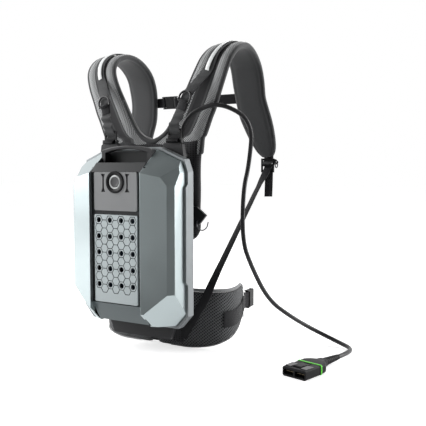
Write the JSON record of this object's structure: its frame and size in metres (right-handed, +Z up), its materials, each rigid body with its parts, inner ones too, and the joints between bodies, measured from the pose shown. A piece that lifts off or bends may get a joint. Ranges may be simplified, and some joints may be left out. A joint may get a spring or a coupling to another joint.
{
  "type": "backpack battery pack",
  "caption": "Wearable battery housing with carry handle, shoulder harness, hip belt and a corded plug for a tool.",
  "frame": {"origin": "middle of the footprint of the pack with its harness, at floor level, without the free cord and plug", "axes": "+X to the right of someone facing the grille, +Y from the grille towards the wearer's back, +Z up"},
  "size_m": [0.6714, 0.4034, 0.717],
  "materials": {
    "cover_light": "fine satin texture",
    "shell_grey": "fine matt texture",
    "spine_dark": "fine matt texture",
    "chin_grey": "fine matt texture",
    "grille_grey": "satin",
    "panel_grey": "satin",
    "gloss_black": "gloss",
    "light_white": "gloss, translucent white",
    "moulded_black": "satin",
    "module_wrap": "matt",
    "board_green": "satin",
    "screw_steel": "zinc plated",
    "ring_metal": "black, satin",
    "strap_mesh": "dotted mesh over foam",
    "pad_fabric": "air mesh over foam",
    "belt_fabric": "woven mesh over foam",
    "binding_grey": "rolled knitted edge",
    "webbing_black": "flat woven webbing",
    "reflective": "reflective tape",
    "cord_black": "matt",
    "contact_brass": "bright",
    "seal_green": "satin"
  },
  "bodies": {
    "pack": {"right_cover": "cover_light", "left_cover": "cover_light", "rear_shell": "shell_grey", "centre_spine": "spine_dark", "chin_panel": "chin_grey", "grille_panel": "grille_grey", "control_panel": "panel_grey", "bezel_ring": "gloss_black", "light_ring": "light_white", "button_switch": "moulded_black", "carry_handle": "moulded_black", "back_frame": "moulded_black", "tool_tab": "moulded_black", "cable_gland": "moulded_black", "right_ladder_lock": "moulded_black", "left_ladder_lock": "moulded_black", "right_strap_adjuster": "moulded_black", "left_strap_adjuster": "moulded_black", "chest_buckle_female": "moulded_black", "chest_buckle_male": "moulded_black", "plug_head": "moulded_black", "plug_body": "moulded_black", "left_cell_module": "module_wrap", "right_cell_module": "module_wrap", "management_board": "board_green", "housing_screws": "screw_steel", "frame_screws": "screw_steel", "right_shoulder_strap": "strap_mesh", "left_shoulder_strap": "strap_mesh", "back_pad": "pad_fabric", "lumbar_pad": "pad_fabric", "right_belt_wing": "belt_fabric", "left_belt_wing": "belt_fabric", "belt_bindings": "binding_grey", "right_strap_webbing": "webbing_black", "left_strap_webbing": "webbing_black", "ring_loops": "webbing_black", "right_lower_webbing": "webbing_black", "left_lower_webbing": "webbing_black", "right_belt_webbing": "webbing_black", "left_belt_webbing": "webbing_black", "belt_keepers": "webbing_black", "right_chest_webbing": "webbing_black", "left_chest_webbing": "webbing_black", "reflective_strips": "reflective", "power_cable": "cord_black", "plug_strain_relief": "cord_black", "plug_contacts": "contact_brass", "plug_seal_ring": "seal_green"},
    "moving_power_button": {"power_button": "gloss_black"},
    "moving_tool_hook": {"tool_hook": "screw_steel"},
    "moving_right_end_ring": {"right_end_ring": "ring_metal"},
    "moving_left_end_ring": {"left_end_ring": "ring_metal"},
    "moving_right_d_ring": {"right_d_ring": "ring_metal"},
    "moving_left_d_ring": {"left_d_ring": "ring_metal"},
    "moving_hip_buckle_female": {"hip_buckle_female": "moulded_black"},
    "moving_hip_buckle_male": {"hip_buckle_male": "moulded_black"},
    "moving_plug_latch": {"plug_latch": "moulded_black"}
  },
  "joints": [
    {"name": "button_press", "type": "slide", "parent": "pack", "child": "moving_power_button", "axis": [0, 1, 0], "range_m": [0, 0.0025], "stiffness_N_per_m": 400},
    {"name": "hook_swing", "type": "hinge", "parent": "pack", "child": "moving_tool_hook", "pos_m": [0.137, -0.0717, 0.303], "axis": [0, 1, 0], "range_deg": [-25, 25]},
    {"name": "right_end_ring_swing", "type": "hinge", "parent": "pack", "child": "moving_right_end_ring", "pos_m": [0.22, 0.1663, 0.437], "axis": [0, 1, 0], "range_deg": [-50, 15]},
    {"name": "left_end_ring_swing", "type": "hinge", "parent": "pack", "child": "moving_left_end_ring", "pos_m": [-0.22, 0.1663, 0.437], "axis": [0, 1, 0], "range_deg": [-15, 50]},
    {"name": "right_d_ring_swing", "type": "hinge", "parent": "pack", "child": "moving_right_d_ring", "pos_m": [0.11213, -0.0938, 0.56973], "axis": [0.9514, -0.0631, -0.3015], "range_deg": [0, 100]},
    {"name": "left_d_ring_swing", "type": "hinge", "parent": "pack", "child": "moving_left_d_ring", "pos_m": [-0.11213, -0.0938, 0.56973], "axis": [0.9514, 0.0631, 0.3015], "range_deg": [0, 100]},
    {"name": "right_hip_buckle_turn", "type": "hinge", "parent": "pack", "child": "moving_hip_buckle_female", "pos_m": [0.1405, 0.1627, 0.084], "axis": [0, 0, 1], "range_deg": [-30, 30]},
    {"name": "left_hip_buckle_turn", "type": "hinge", "parent": "pack", "child": "moving_hip_buckle_male", "pos_m": [-0.1405, 0.1627, 0.084], "axis": [0, 0, 1], "range_deg": [-30, 30]},
    {"name": "latch_press", "type": "hinge", "parent": "pack", "child": "moving_plug_latch", "pos_m": [0.40758, -0.08596, 0.018], "axis": [0.972, -0.2351, 0], "range_deg": [0, 3.8], "stiffness_Nm_per_rad": 1}
  ]
}
